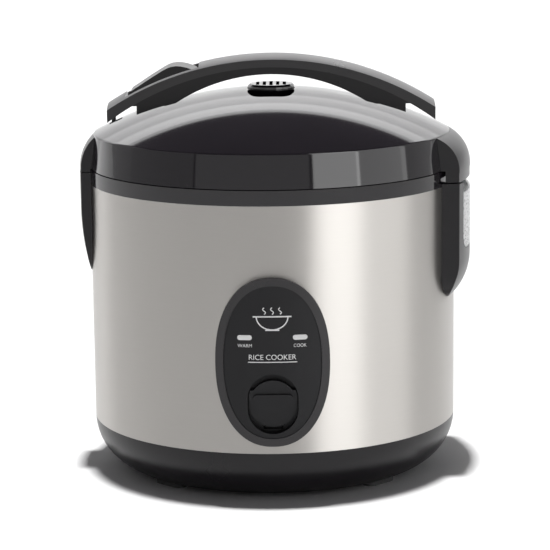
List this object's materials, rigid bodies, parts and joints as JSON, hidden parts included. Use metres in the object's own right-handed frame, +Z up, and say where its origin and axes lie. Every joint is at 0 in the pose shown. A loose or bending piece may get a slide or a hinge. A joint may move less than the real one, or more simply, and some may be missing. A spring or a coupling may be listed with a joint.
{
  "type": "rice cooker",
  "caption": "Jar-shaped rice cooker: steel wall, black hinged dome lid with arched carrying handle and thumb latch, one-lever front panel, lift-out pot and rear power inlet.",
  "frame": {"origin": "centre of the cooker's round body on the plane its feet stand on", "axes": "+Z up; -Y is the front with the control panel; +X is the hinge side and -X the latch side"},
  "size_m": [0.2356, 0.225, 0.25],
  "materials": {
    "brushed_steel": "horizontally brushed satin",
    "zinc_plate": "dull zinc plate",
    "spring_steel": "bright drawn steel",
    "pot_aluminium": "satin spun aluminium",
    "gloss_black": "glossy black",
    "satin_black": "satin black",
    "warm_grey": "satin warm grey",
    "panel_grey": "fine matt",
    "rubber": "matt",
    "silicone": "translucent grey silicone",
    "clear_plastic": "translucent moulded",
    "lens_white": "milky lens",
    "lamp_glass": "neon lamps",
    "circuit_board": "solder mask",
    "brass": "bright",
    "heater_foil": "mica heater band",
    "ferrite_black": "sintered",
    "ceramic_white": "glass-fibre sleeve"
  },
  "bodies": {
    "base": {"outer_shell": "brushed_steel", "base_shell": "satin_black", "bottom_plate": "zinc_plate", "feet": "rubber", "base_screws": "zinc_plate", "top_collar": "gloss_black", "inner_well": "pot_aluminium", "heating_plate": "pot_aluminium", "heater_tube": "zinc_plate", "heater_studs": "zinc_plate", "warm_band": "heater_foil", "thermostat_housing": "zinc_plate", "sensor_spring": "spring_steel", "switch_bracket": "zinc_plate", "switch_pin": "spring_steel", "microswitch": "satin_black", "thermal_fuse": "ceramic_white", "panel_bezel": "warm_grey", "panel_face": "panel_grey", "lamp_lenses": "lens_white", "lamp_board": "circuit_board", "lamps": "lamp_glass", "latch_housing": "satin_black", "latch_strike": "zinc_plate", "hinge_housing": "satin_black", "hinge_pin": "spring_steel", "hinge_spring": "spring_steel", "housing_screws": "zinc_plate", "power_inlet": "gloss_black", "inlet_pins": "brass", "wires": "ceramic_white"},
    "sensor": {"sensor_cap": "pot_aluminium", "ferrite": "ferrite_black"},
    "magnet_slide": {"magnet": "ferrite_black", "magnet_rod": "brass"},
    "cook_switch": {"switch_lever": "panel_grey"},
    "pot": {"inner_pot": "pot_aluminium"},
    "dew_cup": {"dew_collector": "clear_plastic"},
    "lid": {"lid_cover": "gloss_black", "lid_liner": "satin_black", "inner_lid": "pot_aluminium", "lid_knob": "silicone", "lid_gasket": "silicone", "vent_cup": "satin_black", "vent_seal": "silicone", "handle_top": "warm_grey", "handle_core": "satin_black", "handle_feet": "satin_black", "handle_screws": "zinc_plate", "latch_cover": "satin_black", "latch_pin": "spring_steel", "latch_spring": "spring_steel", "release_pin": "spring_steel", "hinge_cover": "satin_black", "hinge_skirt": "satin_black", "hinge_leaf": "zinc_plate"},
    "vent": {"vent_cap": "gloss_black"},
    "hook": {"latch_hook": "zinc_plate"},
    "release": {"release_lever": "satin_black"}
  },
  "joints": [
    {"name": "lid_hinge", "type": "hinge", "parent": "base", "child": "lid", "pos_m": [0.113, 0, 0.1785], "axis": [0, 1, 0], "range_deg": [0, 90]},
    {"name": "release_press", "type": "hinge", "parent": "lid", "child": "release", "pos_m": [-0.082, 0, 0.22415], "axis": [0, 1, 0], "range_deg": [0, 3], "stiffness_Nm_per_rad": 0.6, "springref_deg": -2.86},
    {"name": "hook_swing", "type": "hinge", "parent": "lid", "child": "hook", "pos_m": [-0.1125, 0, 0.1855], "axis": [0, 1, 0], "range_deg": [-5.2, 0]},
    {"name": "cook_press", "type": "hinge", "parent": "base", "child": "cook_switch", "pos_m": [0, -0.06, 0.0345], "axis": [1, 0, 0], "range_deg": [0, 3], "stiffness_Nm_per_rad": 1.2, "springref_deg": -2.86},
    {"name": "magnet_lift", "type": "slide", "parent": "base", "child": "magnet_slide", "axis": [0, 0, 1], "range_m": [0, 0.0032], "stiffness_N_per_m": 4, "springref_m": 0.0325},
    {"name": "sensor_press", "type": "slide", "parent": "base", "child": "sensor", "axis": [0, 0, -1], "range_m": [0, 0.0015], "stiffness_N_per_m": 1200, "springref_m": -0.001, "deforming": ["sensor_spring"]},
    {"name": "pot_turn", "type": "hinge", "parent": "base", "child": "pot", "pos_m": [0, 0, 0.1], "axis": [0, 0, 1], "continuous": true},
    {"name": "dew_pull", "type": "slide", "parent": "base", "child": "dew_cup", "axis": [1, 0, 0], "range_m": [0, 0.03]},
    {"name": "vent_lift", "type": "slide", "parent": "lid", "child": "vent", "axis": [0, 0, 1], "range_m": [0, 0.005]}
  ],
  "couplings": [
    {"joint": "hook_swing", "follows": "release_press", "ratio": -1.717},
    {"joint": "magnet_lift", "follows": "cook_press", "m_per_rad": 0.06}
  ]
}
